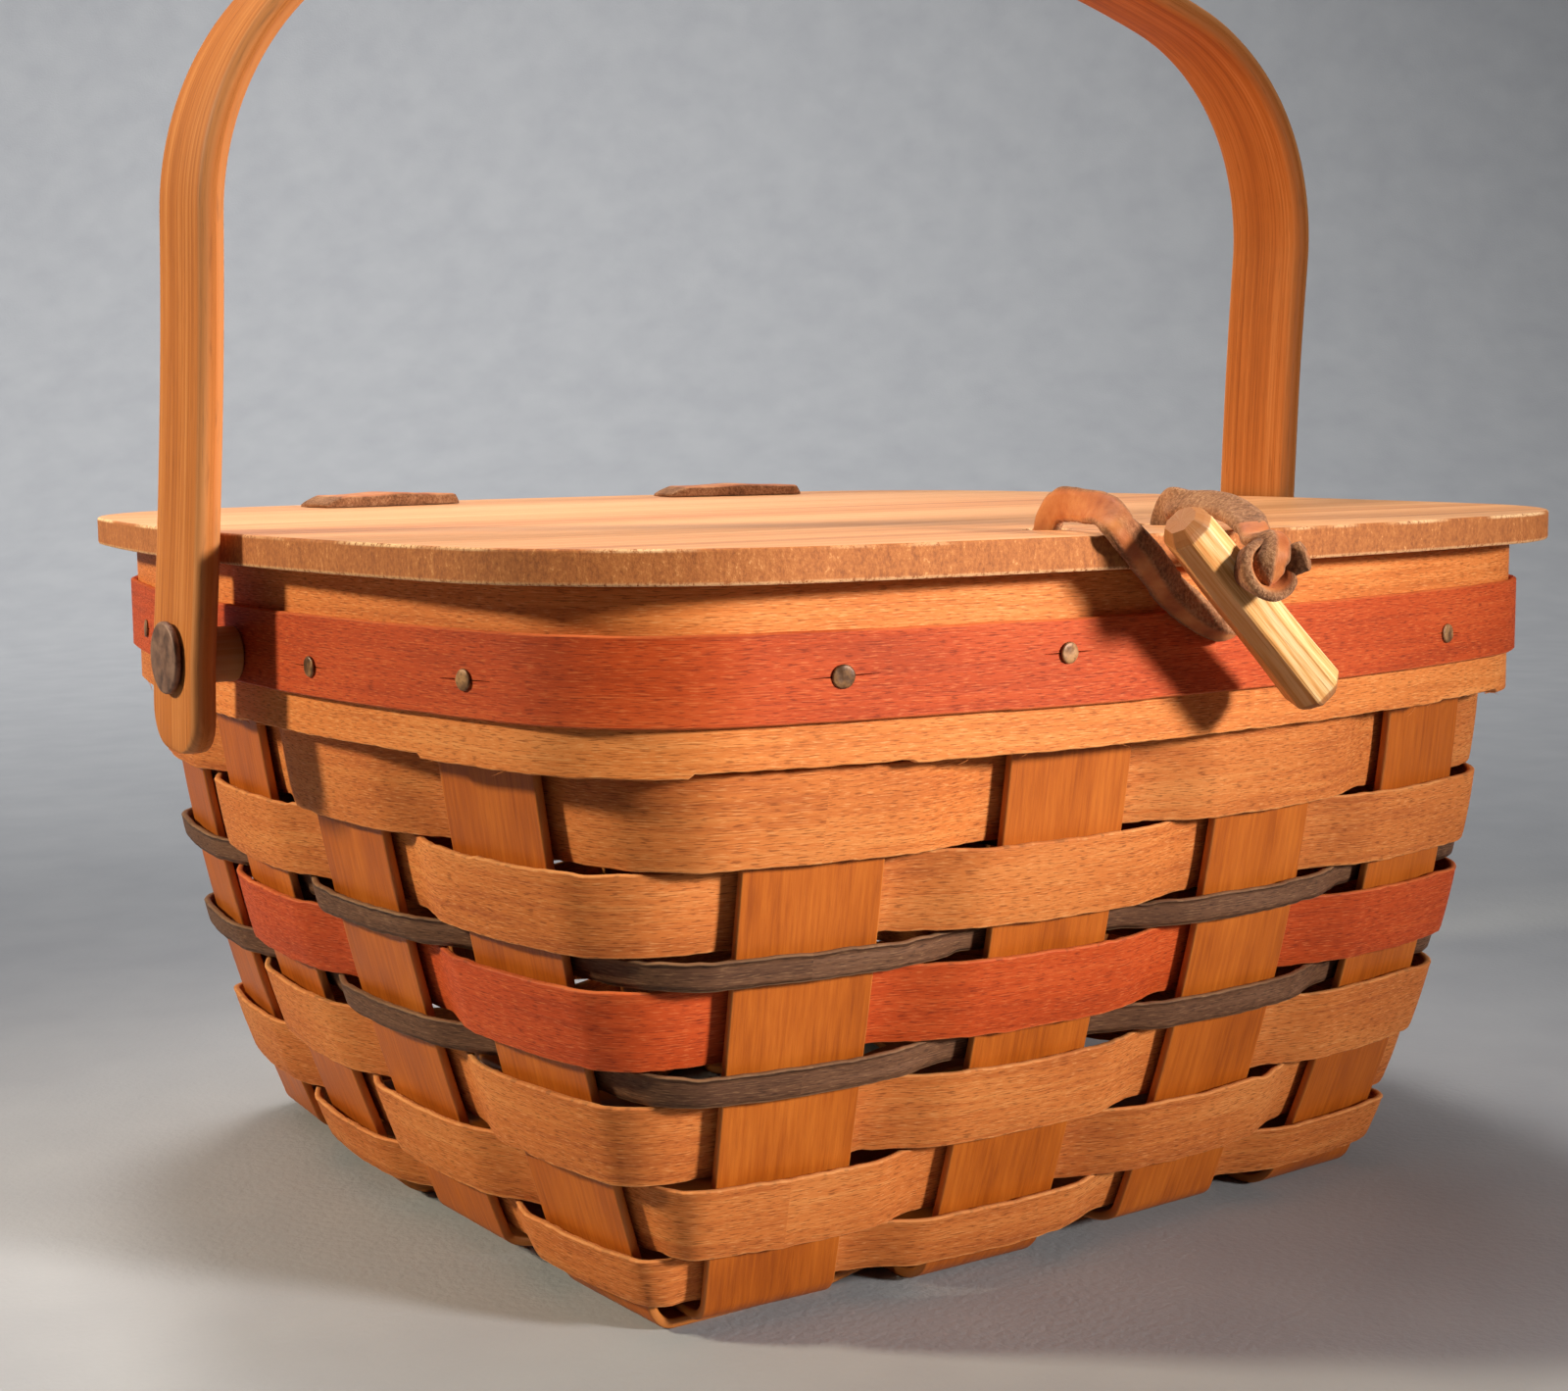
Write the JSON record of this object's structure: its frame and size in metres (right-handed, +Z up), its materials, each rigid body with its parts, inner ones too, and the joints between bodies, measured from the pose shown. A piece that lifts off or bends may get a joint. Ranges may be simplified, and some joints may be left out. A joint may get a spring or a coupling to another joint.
{
  "type": "covered berry basket",
  "caption": "Square woven splint basket with nailed rim bands, a hinged board lid, a swinging bentwood handle and a leather and peg closure.",
  "frame": {"origin": "centre of the basket on the surface that it stands on", "axes": "+Z up, -Y the closure side, where the lid opens, +Y the hinge side, -X and +X the handle's pivots"},
  "size_m": [0.243, 0.2454, 0.2283],
  "materials": {
    "stake_splint": "split hardwood, stained amber brown, low sheen",
    "natural_splint": "split hardwood, warm honey stain, matt",
    "red_splint": "split hardwood dyed brick red, matt",
    "brown_splint": "split hardwood dyed dark brown, matt",
    "rim_splint": "thick hardwood band, warm honey stain, matt",
    "lid_wood": "planed board, striped grain, low sheen",
    "handle_wood": "steam-bent hardwood strap, low sheen",
    "peg_wood": "whittled pale hardwood, low sheen",
    "leather": "tan leather, rough flesh side",
    "aged_tack": "aged to a dull brown",
    "aged_rivet": "aged to a dull brown"
  },
  "bodies": {
    "basket": {"stake_across_1": "stake_splint", "stake_across_2": "stake_splint", "stake_across_3": "stake_splint", "stake_across_4": "stake_splint", "stake_along_1": "stake_splint", "stake_along_2": "stake_splint", "stake_along_3": "stake_splint", "stake_along_4": "stake_splint", "weaver_row_1": "natural_splint", "weaver_row_2": "natural_splint", "weaver_row_3": "brown_splint", "weaver_row_4": "red_splint", "weaver_row_5": "brown_splint", "weaver_row_6": "natural_splint", "weaver_row_7": "natural_splint", "weaver_row_8": "natural_splint", "rim_band_outer": "rim_splint", "rim_band_inner": "rim_splint", "rim_trim_strip": "red_splint", "rim_tack_1": "aged_tack", "rim_tack_2": "aged_tack", "rim_tack_3": "aged_tack", "rim_tack_4": "aged_tack", "rim_tack_5": "aged_tack", "rim_tack_6": "aged_tack", "rim_tack_7": "aged_tack", "rim_tack_8": "aged_tack", "rim_tack_9": "aged_tack", "rim_tack_10": "aged_tack", "rim_tack_11": "aged_tack", "rim_tack_12": "aged_tack", "rim_tack_13": "aged_tack", "rim_tack_14": "aged_tack", "hinge_strap_left": "leather", "hinge_strap_right": "leather", "hinge_tack_left_1": "aged_tack", "hinge_tack_left_2": "aged_tack", "hinge_tack_right_1": "aged_tack", "hinge_tack_right_2": "aged_tack", "handle_rivet_left": "aged_rivet", "handle_rivet_right": "aged_rivet", "handle_spacer_left": "peg_wood", "handle_spacer_right": "peg_wood"},
    "lid": {"lid_board": "lid_wood", "closure_lace": "leather"},
    "handle": {"handle_hoop": "handle_wood"},
    "toggle": {"toggle_peg": "peg_wood", "toggle_knot": "leather"}
  },
  "joints": [
    {"name": "lid_hinge", "type": "hinge", "parent": "basket", "child": "lid", "pos_m": [0, 0.1077, 0.11305], "axis": [-1, 0, 0], "range_deg": [0, 25], "deforming": ["hinge_strap_left", "hinge_strap_right"]},
    {"name": "handle_swing", "type": "hinge", "parent": "basket", "child": "handle", "pos_m": [0, -0.002, 0.0987], "axis": [1, 0, 0], "range_deg": [-112, 64]},
    {"name": "toggle_swivel", "type": "hinge", "parent": "lid", "child": "toggle", "pos_m": [-0.0052, -0.121, 0.1073], "axis": [0, 1, 0], "range_deg": [-40, 40], "deforming": ["closure_lace"]}
  ]
}
